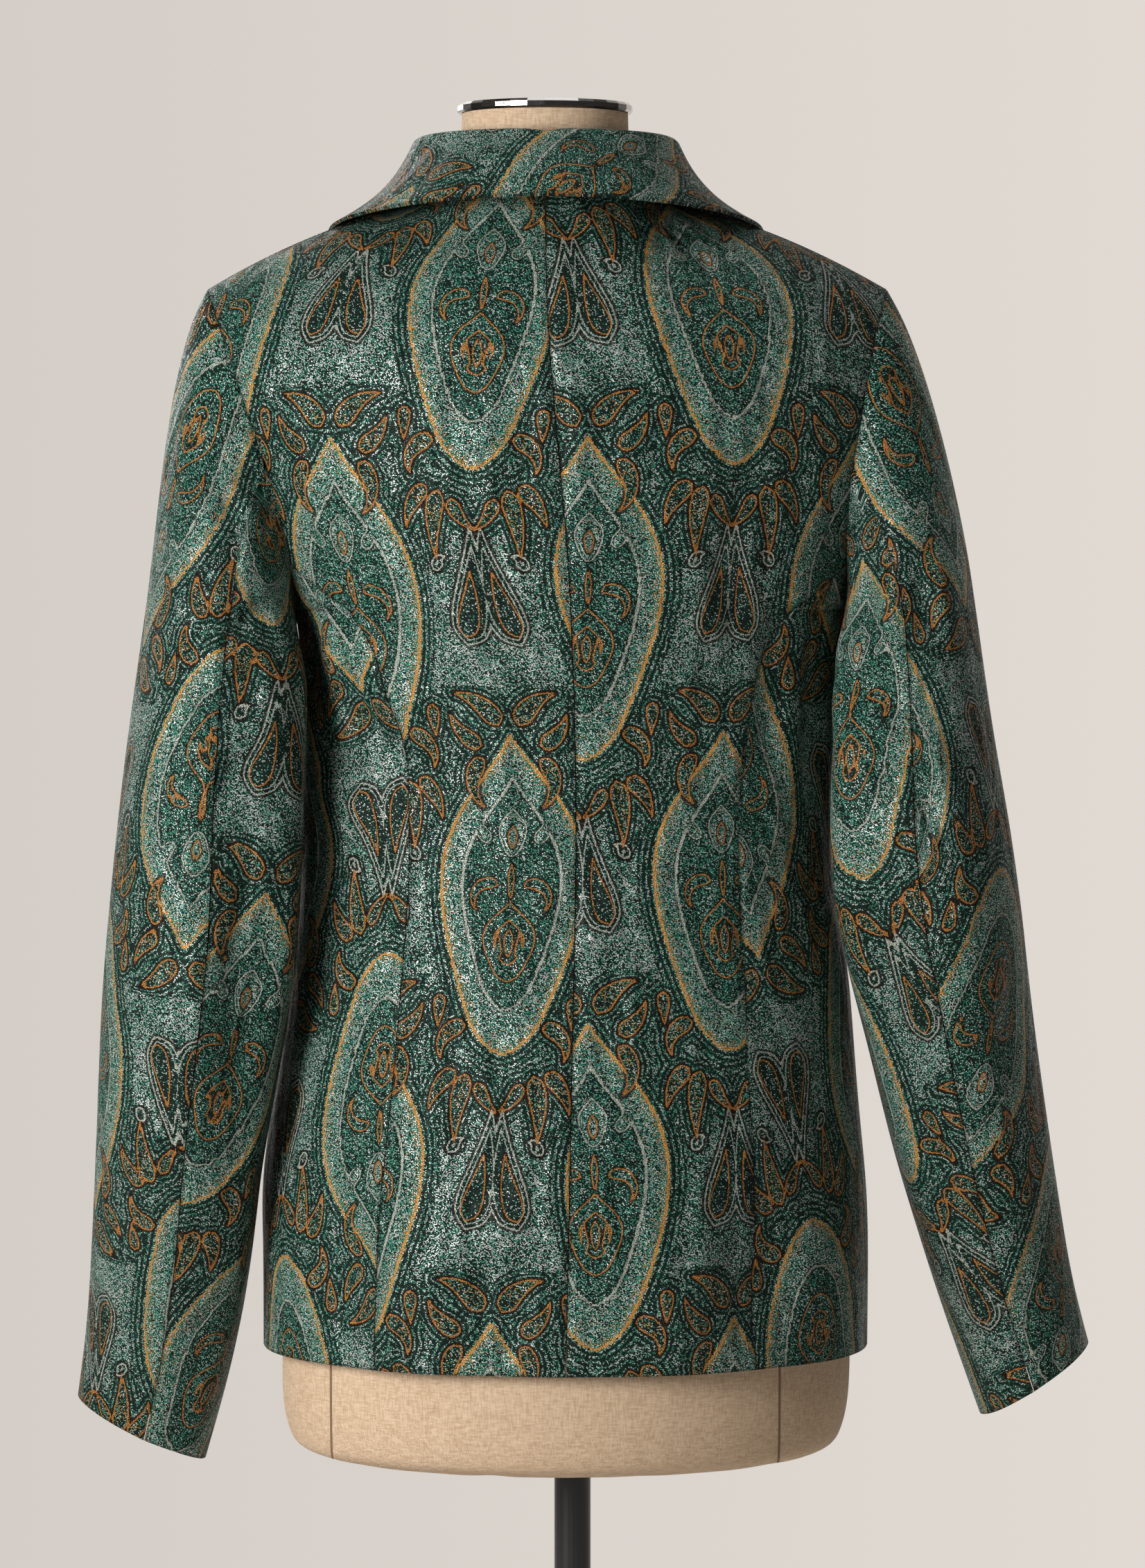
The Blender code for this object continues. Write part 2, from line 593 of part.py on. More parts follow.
# Buttons on the right front, each lying square on the cloth
for label, row in zip(("upper", "lower"), BUTTON_ROWS):
    below, above = (front_point(-1, 0.0, height) for height in LOW_ROWS[row:row + 2])
    seat = (below + above) / 2
    facing = (above - below).cross(Vector((-1.0, 0.0, 0.0))).normalized()
    facing *= -1.0 if facing.y > 0 else 1.0
    button = turned("button_" + label, (
        (0.0, 0.0),
        (BUTTON_RADIUS * 0.80, 0.0),
        (BUTTON_RADIUS, BUTTON_HEIGHT * 0.45),
        (BUTTON_RADIUS * 0.94, BUTTON_HEIGHT),
        (BUTTON_RADIUS * 0.76, BUTTON_HEIGHT),
        (BUTTON_RADIUS * 0.66, BUTTON_HEIGHT * 0.70),
        (0.0, BUTTON_HEIGHT * 0.70),
    ), (0.0, 0.0), "horn", 16)
    swing = Vector((0.0, 0.0, 1.0)).rotation_difference(facing)
    for vertex in button.data.vertices:
        vertex.co = swing @ vertex.co + seat + facing * 0.0004


def form_place(face, side, share, height):
    """Place on the dress form, inside the garment with the ease its table gives."""
    if height <= ARMPIT_HEIGHT:
        half = along_table(FORM, "half", height)
        middle = along_table(FORM, "back" if face > 0 else "front", height)
        angle = share * 0.97 * math.pi / 2
        return Vector((side * half * math.sin(angle) + sway(height), middle * math.cos(angle), height))
    rise = (height - ARMPIT_HEIGHT) / (TOP_HEIGHT - ARMPIT_HEIGHT)
    ease = FORM_EASE_CHEST + (FORM_EASE_SHOULDER - FORM_EASE_CHEST) * rise
    place = body_point(face, side, share, height)
    return place + inward(place) * (WALL + ease)


# Dress form: rings up to the shoulders, a ridge under each shoulder seam, then the neck
form_data = bmesh.new()
quarters = []
for height in FORM_ROWS:
    neck_share = share_at(height, NECK_HALF)
    shares = spread(0.0, neck_share, NECK_STEPS + 1)[:-1] + spread(neck_share, 1.0, 7)
    corner = {}
    for face in (1, -1):
        middle = form_data.verts.new(form_place(face, 1, 0.0, height))
        for side in (1, -1):
            row = [form_data.verts.new(form_place(face, side, share, height)) for share in shares[1:]]
            corner[face, side] = [middle] + row
    quarters.append(corner)


def closed_row(corner):
    """Points of one level in order round the form."""
    row = corner[1, 1] + corner[-1, 1][::-1]
    return row + corner[-1, -1][1:] + corner[1, -1][:0:-1]


levels = [closed_row(corner) for corner in quarters]
for drop, inset in FORM_EDGE:
    lower = []
    for vertex in levels[0]:
        reach = Vector((vertex.co.x - sway(FORM_BOTTOM), vertex.co.y, 0.0))
        place = vertex.co - reach.normalized() * inset
        lower.append(form_data.verts.new((place.x, place.y, FORM_BOTTOM + drop)))
    levels.insert(0, lower)
form_data.faces.new(levels[0])
for level, following in zip(levels, levels[1:]):
    for k in range(len(level)):
        j = (k + 1) % len(level)
        form_data.faces.new((level[k], level[j], following[j], following[k]))
top = quarters[-1]
neck_starts = {}
for side in (1, -1):
    ridge = []
    start = share_at(TOP_HEIGHT, NECK_HALF)
    for share in spread(start, 1.0, 7):
        place = body_point(1, side, share, TOP_HEIGHT)
        ridge.append(form_data.verts.new(place + inward(place) * (WALL + SHOULDER_SEAT)))
    back, front = top[1, side][NECK_STEPS:], top[-1, side][NECK_STEPS:]
    for i in range(len(ridge) - 1):
        form_data.faces.new((back[i], back[i + 1], ridge[i + 1], ridge[i]))
        form_data.faces.new((ridge[i], ridge[i + 1], front[i + 1], front[i]))
    form_data.faces.new((back[-1], front[-1], ridge[-1]))
    neck_starts[side] = ridge[0]
neck_base = top[1, 1][NECK_STEPS::-1] + top[1, -1][1:NECK_STEPS + 1] + [neck_starts[-1]]
neck_base += top[-1, -1][NECK_STEPS::-1] + top[-1, 1][1:NECK_STEPS + 1] + [neck_starts[1]]
for radius, height in NECK:
    ring = []
    for vertex in neck_base:
        reach = Vector((vertex.co.x - sway(vertex.co.z), vertex.co.y, 0.0)).normalized() * radius
        ring.append(form_data.verts.new((sway(height) + reach.x, reach.y, height)))
    for k in range(len(ring)):
        j = (k + 1) % len(ring)
        form_data.faces.new((neck_base[k], neck_base[j], ring[j], ring[k]))
    neck_base = ring
form_data.faces.new(neck_base)
finish("form_body", form_data, "linen", roughness=0.9)

# Pole and foot of the stand
turned("stand_foot", (
    (0.0, 0.0),
    (FOOT_RADIUS - 0.002, 0.0),
    (FOOT_RADIUS, 0.002),
    (FOOT_RADIUS, FOOT_HEIGHT - 0.003),
    (FOOT_RADIUS - 0.003, FOOT_HEIGHT),
    (HUB_RADIUS, FOOT_HEIGHT + 0.002),
    (HUB_RADIUS - 0.002, HUB_HEIGHT),
    (0.0, HUB_HEIGHT),
), (0.0, 0.0), "black steel", 40, roughness=0.45)
turned("stand_pole", (
    (0.0, HUB_HEIGHT + SEAT_GAP),
    (POLE_RADIUS, HUB_HEIGHT + SEAT_GAP),
    (POLE_RADIUS, FORM_BOTTOM - SEAT_GAP),
    (0.0, FORM_BOTTOM - SEAT_GAP),
), (0.0, 0.0), "black steel", 24, roughness=0.45)
turned("neck_ring", (
    (0.0, NECK_TOP + SEAT_GAP),
    (RING_RADIUS - 0.001, NECK_TOP + SEAT_GAP),
    (RING_RADIUS, NECK_TOP + SEAT_GAP + 0.0010),
    (RING_RADIUS, NECK_TOP + RING_HEIGHT - 0.0015),
    (RING_RADIUS - 0.0015, NECK_TOP + RING_HEIGHT),
    (RING_RADIUS - 0.006, NECK_TOP + RING_HEIGHT),
    (RING_RADIUS - 0.008, NECK_TOP + RING_HEIGHT - 0.0015),
    (0.0, NECK_TOP + RING_HEIGHT - 0.0015),
), (sway(NECK_TOP), 0.0), "chrome", 32, metallic=1.0, roughness=0.12)
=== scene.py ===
import math

import bmesh
import bpy
import numpy as np
from mathutils import Matrix, Vector, kdtree


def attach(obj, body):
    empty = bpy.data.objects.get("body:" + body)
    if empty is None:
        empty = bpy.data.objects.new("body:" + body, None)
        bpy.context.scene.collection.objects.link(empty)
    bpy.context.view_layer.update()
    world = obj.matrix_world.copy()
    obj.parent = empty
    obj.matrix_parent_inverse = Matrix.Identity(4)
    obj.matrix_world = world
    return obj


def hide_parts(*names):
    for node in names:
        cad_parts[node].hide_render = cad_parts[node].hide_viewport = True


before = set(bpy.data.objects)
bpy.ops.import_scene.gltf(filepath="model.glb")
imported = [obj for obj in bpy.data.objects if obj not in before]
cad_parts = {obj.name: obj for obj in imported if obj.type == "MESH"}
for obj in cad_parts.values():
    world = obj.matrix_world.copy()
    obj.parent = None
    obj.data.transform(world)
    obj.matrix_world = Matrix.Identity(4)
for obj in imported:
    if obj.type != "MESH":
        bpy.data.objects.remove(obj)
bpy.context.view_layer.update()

# Stand: a turned steel pole on a round steel foot, both coated in black satin paint.
# The pole is screwed into the foot's hub; the solids' shapes are right, so they keep them.


class Thread:
    """A shader socket that can be used in Python sums; make() adds any other node."""

    def __init__(self, tree, socket=None):
        self.tree = tree
        self.socket = socket

    def make(self, kind, sockets, output=0, **settings):
        node = self.tree.nodes.new(kind)
        for name, value in settings.items():
            setattr(node, name, value)
        for key, value in sockets.items():
            if isinstance(value, Thread):
                self.tree.links.new(value.socket, node.inputs[key])
            else:
                node.inputs[key].default_value = value
        return Thread(self.tree, node.outputs[output])

    def sum(self, operation, *values):
        return self.make("ShaderNodeMath", dict(enumerate(values)), operation=operation)

    def __add__(self, other):
        return self.sum("ADD", self, other)

    def __radd__(self, other):
        return self.sum("ADD", other, self)

    def __sub__(self, other):
        return self.sum("SUBTRACT", self, other)

    def __rsub__(self, other):
        return self.sum("SUBTRACT", other, self)

    def __mul__(self, other):
        return self.sum("MULTIPLY", self, other)

    def __rmul__(self, other):
        return self.sum("MULTIPLY", other, self)

    def __lt__(self, other):
        return self.sum("LESS_THAN", self, other)

    def __gt__(self, other):
        return self.sum("GREATER_THAN", self, other)

    def __abs__(self):
        return self.sum("ABSOLUTE", self)

    def sine(self):
        return self.sum("SINE", self)

    def over(self, low, high):
        """Rises from 0 to 1 between two values."""
        return self.make("ShaderNodeMapRange", {0: self, 1: low, 2: high}, interpolation_type="SMOOTHSTEP")

    def between(self, low, high):
        """This share of the way from one value to another."""
        return low + (high - low) * self

    def colour(self, low, high):
        """This share of the way from one colour to another."""
        sockets = {0: self, 6: low, 7: high}
        return self.make("ShaderNodeMix", sockets, output=2, data_type="RGBA")

    def part(self, index):
        return self.make("ShaderNodeSeparateXYZ", {0: self}, output=index)


def srgb(red, green, blue):
    """Linear colour from the usual 0 to 255 values."""
    values = []
    for value in (red, green, blue):
        share = value / 255
        values.append(share / 12.92 if share <= 0.04045 else ((share + 0.055) / 1.055) ** 2.4)
    return (*values, 1.0)


def new_finish(name):
    """Material with an empty Principled shader: the material, the shader and a thread to sum with."""
    material = bpy.data.materials.new(name)
    material.use_nodes = True
    shader = material.node_tree.nodes["Principled BSDF"]
    return material, shader, Thread(material.node_tree)


def feed(shader, **sockets):
    """Links threads to a shader's sockets, or sets plain numbers on them."""
    for name, value in sockets.items():
        socket = shader.inputs[name.replace("_", " ").title().replace("Ior", "IOR")]
        if isinstance(value, Thread):
            value.tree.links.new(value.socket, socket)
        else:
            socket.default_value = value


def dress(piece, material):
    """One material on a piece."""
    piece.data.materials.clear()
    piece.data.materials.append(material)


steel, shader, thread = new_finish("black satin steel")
place = thread.make("ShaderNodeTexCoord", {}, output=3)
grain = thread.make("ShaderNodeTexNoise", {"Vector": place, "Scale": 900.0, "Detail": 2.0})
feed(shader, base_color=srgb(30, 30, 31), roughness=grain.over(0.2, 0.8).between(0.30, 0.42))
for node in ("stand_pole", "stand_foot"):
    dress(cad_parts[node], steel)

# Dress form: a padded torso covered in natural linen, sewn from panels with stitched seams.
# The cover is pulled tight over the padding, so its seams sink in slightly.


def smooth_copy(node, name, rim=50):
    """Copy of a CAD node's mesh, merged and squared up, with its rims marked to stay sharp."""
    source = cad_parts[node]
    piece = bpy.data.objects.new(name, source.data.copy())
    bpy.context.scene.collection.objects.link(piece)
    piece.data.transform(source.matrix_world)
    bpy.ops.object.select_all(action="DESELECT")
    piece.select_set(True)
    bpy.context.view_layer.objects.active = piece
    bpy.ops.mesh.customdata_custom_splitnormals_clear()
    bpy.ops.object.mode_set(mode="EDIT")
    bpy.ops.mesh.select_all(action="SELECT")
    bpy.ops.mesh.remove_doubles(threshold=0.00004)
    bpy.ops.mesh.tris_convert_to_quads(face_threshold=math.radians(40), shape_threshold=math.radians(70))
    bpy.ops.mesh.select_mode(type="EDGE")
    bpy.ops.mesh.select_all(action="DESELECT")
    bpy.ops.mesh.edges_select_sharp(sharpness=math.radians(rim))
    bpy.ops.transform.edge_crease(value=1.0)
    bpy.ops.mesh.mark_seam()
    bpy.ops.object.mode_set(mode="OBJECT")
    return piece


def subdivide(piece, levels):
    """Smooth subdivision, applied."""
    modifier = piece.modifiers.new("smooth", "SUBSURF")
    modifier.levels = levels
    bpy.ops.object.select_all(action="DESELECT")
    piece.select_set(True)
    bpy.context.view_layer.objects.active = piece
    bpy.ops.object.modifier_apply(modifier=modifier.name)
    bpy.ops.object.shade_smooth_by_angle(angle=math.radians(55))


def places(piece):
    """Vertex positions as rows of x, y, z."""
    found = np.empty(len(piece.data.vertices) * 3)
    piece.data.vertices.foreach_get("co", found)
    return found.reshape(-1, 3)


form = smooth_copy("form_body", "linen_form")
subdivide(form, 2)
FORM_SEAMS = (0.1370, -0.1170)
SEAM_HALF_WIDTH = 0.0007
LINEN_THREADS = 5200.0
SLUB_STRETCH = 0.16
SLUB_SCALE = 1100.0
linen, shader, thread = new_finish("natural linen")
place = thread.make("ShaderNodeTexCoord", {}, output=3)
across, height = place.part(0), place.part(2)
slub = thread.make("ShaderNodeTexNoise", {"Vector": place, "Scale": 900.0, "Detail": 2.0})
warp = (across * LINEN_THREADS).sine()
weft = (height * LINEN_THREADS).sine()
depth = place.part(1)
flat_thread = thread.make(
    "ShaderNodeCombineXYZ", {0: across * SLUB_STRETCH, 1: depth * SLUB_STRETCH, 2: height})
upright_thread = thread.make("ShaderNodeCombineXYZ", {0: across, 1: depth, 2: height * SLUB_STRETCH})
flat_slub = thread.make("ShaderNodeTexNoise", {"Vector": flat_thread, "Scale": SLUB_SCALE, "Detail": 1.0})
upright_slub = thread.make(
    "ShaderNodeTexNoise", {"Vector": upright_thread, "Scale": SLUB_SCALE, "Detail": 1.0})
seam = abs(across - FORM_SEAMS[0]) < SEAM_HALF_WIDTH
seam = seam + (abs(across - FORM_SEAMS[1]) < SEAM_HALF_WIDTH)
base = ((flat_slub + upright_slub) * 0.5).over(0.30, 0.70).colour(srgb(180, 152, 123), srgb(210, 185, 158))
base = seam.colour(base, srgb(120, 96, 74))
relief = warp * weft * 0.5 + slub - seam * 2.0
bump = thread.make("ShaderNodeBump", {"Height": relief, "Strength": 0.5, "Distance": 0.0003})
feed(shader, base_color=base, roughness=0.85, normal=bump)
dress(form, linen)
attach(form, "root")
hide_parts("form_body")

# Neck ring: a spun steel cap, chromed and pressed onto the top of the form's neck.
# Its solid has the right shape already and only gets its finish here.
chrome, shader, thread = new_finish("polished chrome")
place = thread.make("ShaderNodeTexCoord", {}, output=3)
grain = thread.make("ShaderNodeTexNoise", {"Vector": place, "Scale": 1600.0, "Detail": 2.0})
feed(shader, base_color=srgb(186, 184, 182), metallic=1.0, roughness=grain.over(0.2, 0.8).between(0.12, 0.20))
dress(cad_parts["neck_ring"], chrome)

# Back: two panels of woven paisley jacquard joined by the centre-back seam, hung from the shoulders.
# Every panel of the jacket is flattened to its cut, and the woven drawing is laid on that flat cut.
# The drawing is a half-drop repeat in millimetres, built from onion shapes and paisley drops.
REPEAT_ACROSS = 166.0
REPEAT_ALONG = 334.0
REPEAT_MIDDLE = -54.0
BROAD_FACE = 0.0045
SPOT_SPREAD = 0.0012
EDGE_REACH = 12.0
CREASE_GAIN = 2.5
WEAVE_ROWS = 1480.0
WEAVE_LANES = 1360.0


def ogee(top, foot, half):
    """Half of an onion shape in millimetres: a pointed top that swells to a round foot."""
    steps = np.linspace(0, 1, 15)
    widths = half * np.abs(np.sin(np.pi * steps ** 0.85)) ** (1.5 - steps)
    widths[[0, -1]] = 0
    return [(0, top), *zip(widths, top + (foot - top) * steps)]


def drop_leaf(x, y, length, half, heading, bend):
    """A paisley drop in millimetres: round where it starts, its tip bending away from its heading."""
    steps = np.linspace(0, 1, 13)
    ways = np.radians(heading + bend * steps)
    strides = np.column_stack((np.cos(ways), np.sin(ways))) * length / len(steps)
    spine = np.cumsum(strides, axis=0) + (x, y)
    widths = half * np.sin(np.pi * np.sqrt(steps))
    sides = np.column_stack((-np.sin(ways), np.cos(ways))) * widths[:, None]
    return np.vstack((spine + sides, (spine - sides)[::-1]))


MEDALLION = ogee(84, -102, 42)
INNER = ogee(60, -76, 29)
HOLES = [ogee(42, 14, 8), drop_leaf(11, 24, 20, 3.5, 10, 110)]
ROSETTE = ogee(-12, -58, 15)
ROSETTE_HEART = ogee(-22, -48, 9)
ORANGE_SHAPES = [
    ogee(-27, -43, 2.5),
    drop_leaf(5, -45, 18, 1.8, 80, 10),
    ogee(32, 19, 2.6),
    ogee(10, -10, 1.6),
    drop_leaf(6, -4, 30, 3, 40, -170),
    drop_leaf(16, -196, 42, 5.5, 112, -16),
]
DROPS = [drop_leaf(17, -203, 74, 10.5, 112, -22), drop_leaf(23, -156, 12, 3.5, 60, 120)]
GOLD_LEAVES = [
    drop_leaf(14, 72, 36, 4.5, -30, -110),
    drop_leaf(5, 88, 34, 5.5, 70, -60),
    drop_leaf(15, 78, 28, 4.5, 15, 60),
    drop_leaf(20, -84, 30, 4.5, 10, -120),
    drop_leaf(18, -108, 42, 5, -70, -25),
    drop_leaf(24, -108, 30, 4.5, -30, -50),
    drop_leaf(13, -114, 24, 3.5, -105, -40),
    drop_leaf(39, -64, 20, 3.4, -90, 0),
]


def drawn(outline):
    """Smooth closed outline; one that starts and ends on the middle line is mirrored over it."""
    points = np.array(outline, float)
    if points[0, 0] == 0 and points[-1, 0] == 0:
        other = points[::-1] * (-1, 1)
        points = np.vstack((points, other[1:-1]))
    for _ in range(2):
        after = np.roll(points, -1, axis=0)
        points = np.stack((0.75 * points + 0.25 * after, 0.25 * points + 0.75 * after), 1).reshape(-1, 2)
    return points


def away(x, y, outline, reach=9.0):
    """Signed distance to an outline, negative inside it; beyond its reach the distance stays the same."""
    points = drawn(outline)
    result = np.full(len(x), reach)
    low, high = points.min(0) - reach, points.max(0) + reach
    near = np.flatnonzero((x > low[0]) & (x < high[0]) & (y > low[1]) & (y < high[1]))
    px, py = x[near], y[near]
    best = np.full(len(near), reach * reach)
    inside = np.zeros(len(near), bool)
    for (ax, ay), (bx, by) in zip(points, np.roll(points, -1, axis=0)):
        run, rise = bx - ax, by - ay
        length = run * run + rise * rise
        if length == 0:
            continue
        share = np.clip(((px - ax) * run + (py - ay) * rise) / length, 0, 1)
        best = np.minimum(best, (px - ax - share * run) ** 2 + (py - ay - share * rise) ** 2)
        if rise != 0:
            crosses = (ay > py) != (by > py)
            inside ^= crosses & (px < ax + run * (py - ay) / rise)
    result[near] = np.where(inside, -np.sqrt(best), np.sqrt(best))
    return result


def woven_fields(u, v):
    """Distances in millimetres from the woven drawing's lines, for places on the flat cut in metres."""
    step = REPEAT_ACROSS / 2
    fields = {}
    for turn in (0, 1):
        column = np.round(u * 1000 / step)
        x = u * 1000 - column * step
        column = column + turn * np.where(x > 0, 1, -1)
        x = np.abs(u * 1000 - column * step)
        y = v * 1000 - (column % 2) * REPEAT_ALONG / 2 - REPEAT_MIDDLE
        y = y - REPEAT_ALONG * np.round(y / REPEAT_ALONG) + REPEAT_MIDDLE
        white = away(x, y, INNER, reach=14)
        for outline in HOLES:
            white = np.maximum(white, -away(x, y, outline))
        orange = np.maximum(away(x, y, ROSETTE), -away(x, y, ROSETTE_HEART))
        for outline in ORANGE_SHAPES:
            orange = np.minimum(orange, away(x, y, outline))
        drop = np.minimum(*(away(x, y, outline) for outline in DROPS))
        gold = np.minimum.reduce([away(x, y, outline) for outline in GOLD_LEAVES])
        medallion = away(x, y, MEDALLION, reach=24)
        found = {"medallion": medallion, "white": white, "drop": drop, "orange": orange, "gold": gold}
        for name, values in found.items():
            fields[name] = np.minimum(fields[name], values) if name in fields else values
    return fields


def facing_out(faces, middle):
    """How much of a patch of faces looks away from the middle line of its piece."""
    centres = np.array([face.calc_center_median() for face in faces])
    normals = np.array([face.normal * face.calc_area() for face in faces])
    away_from = centres - middle(centres)
    return (normals * away_from / np.linalg.norm(away_from, axis=1)[:, None]).sum()


def cut_flat(piece, middle, along, spot, spot_on_cut, turn, facing=(0, 1, 0), lean=None, half=0.3):
    """Unfolds a panel's right side to its flat cut in metres and lays the drawing on it.

    spot is a place (x, z) on the panel's side that faces one way, and spot_on_cut the place of the
    drawing, in millimetres, that lies there; turn is the drawing's turn on the panel in degrees, or
    a second such pair that sets it. Cloth that unfolds further than half to a side is a strip along
    a seam that has come loose from its neighbours, and it is laid back beside them.
    """
    bpy.ops.object.select_all(action="DESELECT")
    piece.select_set(True)
    bpy.context.view_layer.objects.active = piece
    bpy.ops.object.mode_set(mode="EDIT")
    bpy.ops.mesh.select_mode(type="FACE")
    bpy.ops.mesh.select_all(action="SELECT")
    bpy.ops.uv.unwrap(method="ANGLE_BASED", margin=0.001)
    bpy.ops.object.mode_set(mode="OBJECT")
    piece.data.uv_layers.active.name = "cut"
    work = bmesh.new()
    work.from_mesh(piece.data)
    work.verts.ensure_lookup_table()
    layer = work.loops.layers.uv.active
    outer = work.faces.layers.bool.new("outer")
    patches, seen = [], set()
    for face in work.faces:
        if face.index in seen:
            continue
        patch, todo = [], [face]
        seen.add(face.index)
        while todo:
            one = todo.pop()
            patch.append(one)
            for edge in one.edges:
                if not edge.seam:
                    for other in edge.link_faces:
                        if other.index not in seen:
                            seen.add(other.index)
                            todo.append(other)
        patches.append(patch)
    patch = max(patches, key=lambda faces: facing_out(faces, middle))
    flat, spans, broad = {}, 0.0, set()
    for face in patch:
        face[outer] = True
        if min(edge.calc_length() for edge in face.edges) > BROAD_FACE:
            broad.update(vert.index for vert in face.verts)
        corners = [loop[layer].uv.copy() for loop in face.loops]
        spans += abs(sum(a.cross(b) for a, b in zip(corners, corners[1:] + corners[:1]))) / 2
        for loop in face.loops:
            flat[loop.vert.index] = loop[layer].uv.copy()
    area = sum(face.calc_area() for face in patch)
    keys = sorted(flat)
    solid = np.array([work.verts[key].co for key in keys])
    normals = np.array([work.verts[key].normal for key in keys])
    cut = np.array([flat[key] for key in keys]) * math.sqrt(area / spans)
    slope = np.linalg.lstsq(np.column_stack((cut, np.ones(len(cut)))), solid[:, along], rcond=None)[0][:2]
    slope /= np.linalg.norm(slope)
    if along == 2:
        cut = np.column_stack((cut @ (slope[1], -slope[0]), cut @ slope))
    else:
        cut = np.column_stack((cut @ -slope, cut @ (slope[1], -slope[0])))
    side = cut[:, 0] - np.median(cut[:, 0])
    loose = np.abs(side) > half
    near = kdtree.KDTree(len(keys))
    for i in np.flatnonzero(~loose):
        near.insert(solid[i], i)
    near.balance()
    for i in np.flatnonzero(loose):
        _, neighbour, gap = near.find(solid[i])
        cut[i] = cut[neighbour] + (math.copysign(gap, side[i]), 0)
    size = np.ptp(cut[[key in broad for key in keys]], axis=0)

    def cut_at(place):
        """Where a place (x, z) on the panel lies on the cut."""
        side, rise = solid[:, 0] - place[0], solid[:, 2] - place[1]
        seen_from = (normals @ np.array(facing) > 0.1) + 1e-6
        weight = np.sqrt(np.exp(-(side ** 2 + rise ** 2) / SPOT_SPREAD) * seen_from)[:, None]
        table = np.column_stack((side, rise, np.ones(len(solid))))
        return np.linalg.lstsq(table * weight, cut * weight, rcond=None)[0][2]

    origin = cut_at(spot)
    if isinstance(turn, tuple):
        run, goal = cut_at(turn[0]) - origin, np.array(turn[1]) - spot_on_cut
        turn = math.degrees(math.atan2(goal[1], goal[0]) - math.atan2(run[1], run[0]))
    cosine, sine = math.cos(math.radians(turn)), math.sin(math.radians(turn))
    cut = (cut - origin) @ np.array(((cosine, sine), (-sine, cosine))) + np.array(spot_on_cut) / 1000
    if lean:
        low, high, shift = lean
        rise = np.clip((solid[:, 2] - low) / (high - low), 0, 1)
        cut[:, 0] += shift * rise * rise * (3 - 2 * rise)
    tree = kdtree.KDTree(len(keys))
    for i, point in enumerate(solid):
        tree.insert(point, i)
    tree.balance()
    rows = [cut[tree.find(vert.co)[1]] for vert in work.verts]
    for face in work.faces:
        for loop in face.loops:
            loop[layer].uv = rows[loop.vert.index]
    work.to_mesh(piece.data)
    work.free()
    return size, area


def refine(piece):
    """One more cut of the panel's right side alone, for the woven drawing's fine lines."""
    bpy.ops.object.select_all(action="DESELECT")
    piece.select_set(True)
    bpy.context.view_layer.objects.active = piece
    outer = np.empty(len(piece.data.polygons), bool)
    piece.data.attributes["outer"].data.foreach_get("value", outer)
    bpy.ops.object.mode_set(mode="EDIT")
    bpy.ops.mesh.select_mode(type="FACE")
    bpy.ops.mesh.select_all(action="DESELECT")
    bpy.ops.object.mode_set(mode="OBJECT")
    piece.data.polygons.foreach_set("select", outer)
    bpy.ops.object.mode_set(mode="EDIT")
    bpy.ops.mesh.subdivide(number_cuts=1)
    bpy.ops.object.mode_set(mode="OBJECT")


def weave(piece):
    """Writes the drawing's distances on every vertex from its place on the flat cut."""
    mesh = piece.data
    corners = np.empty(len(mesh.loops), int)
    mesh.loops.foreach_get("vertex_index", corners)
    values = np.empty(len(mesh.loops) * 2)
    mesh.uv_layers["cut"].data.foreach_get("uv", values)
    cut = np.zeros((len(mesh.vertices), 2))
    cut[corners] = values.reshape(-1, 2)
    for name, field in woven_fields(cut[:, 0], cut[:, 1]).items():
        mesh.attributes.new(name, "FLOAT", "POINT").data.foreach_set("value", field)


def measure_edges(piece):
    """Writes every vertex's distance in millimetres from the panel's sewn or turned edges."""
    mesh = piece.data
    sewn = np.empty(len(mesh.edges), bool)
    mesh.edges.foreach_get("use_seam", sewn)
    ends = np.empty(len(mesh.edges) * 2, int)
    mesh.edges.foreach_get("vertices", ends)
    points = places(piece)
    rim = np.unique(ends.reshape(-1, 2)[sewn])
    tree = kdtree.KDTree(len(rim))
    for index in rim:
        tree.insert(points[index], index)
    tree.balance()
    gaps = [min(EDGE_REACH, tree.find(point)[2] * 1000) for point in points]
    mesh.attributes.new("edge", "FLOAT", "POINT").data.foreach_set("value", gaps)


def crease(piece, rows, middle):
    """Pushes both sides of the cloth in or out along lines (x, z, x, z, width, depth)."""
    points = places(piece)
    outward = points - middle(points)
    outward[:, 2] = 0
    outward /= np.maximum(np.linalg.norm(outward, axis=1), 1e-6)[:, None]
    push = np.zeros(len(points))
    for x0, z0, x1, z1, width, depth in rows:
        run, rise = x1 - x0, z1 - z0
        share = ((points[:, 0] - x0) * run + (points[:, 2] - z0) * rise) / (run * run + rise * rise)
        held = np.clip(share, 0, 1)
        gap = (points[:, 0] - x0 - held * run) ** 2 + (points[:, 2] - z0 - held * rise) ** 2
        fade = np.sin(np.pi * (0.08 + 0.84 * held))
        push += CREASE_GAIN * depth * np.exp(-gap / (2 * width * width)) * fade
    push *= np.clip(outward[:, 1] * 3, 0, 1)
    points += outward * push[:, None]
    piece.data.vertices.foreach_set("co", points.ravel())
    piece.data.update()


def body_middle(points):
    """Middle of the torso level with each point."""
    return points * (0, 0, 1)


def tailor(node, piece_name, levels, fine, cut, rows, middle, rim=50):
    """A whole panel: copied, cut flat, subdivided, creased and woven."""
    piece = smooth_copy(node, piece_name, rim)
    size, area = cut_flat(piece, middle, *cut)
    subdivide(piece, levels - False)
    measure_edges(piece)
    if fine:
        refine(piece)
    crease(piece, rows, middle)
    weave(piece)
    dress(piece, jacquard)
    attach(piece, "root")
    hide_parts(node)


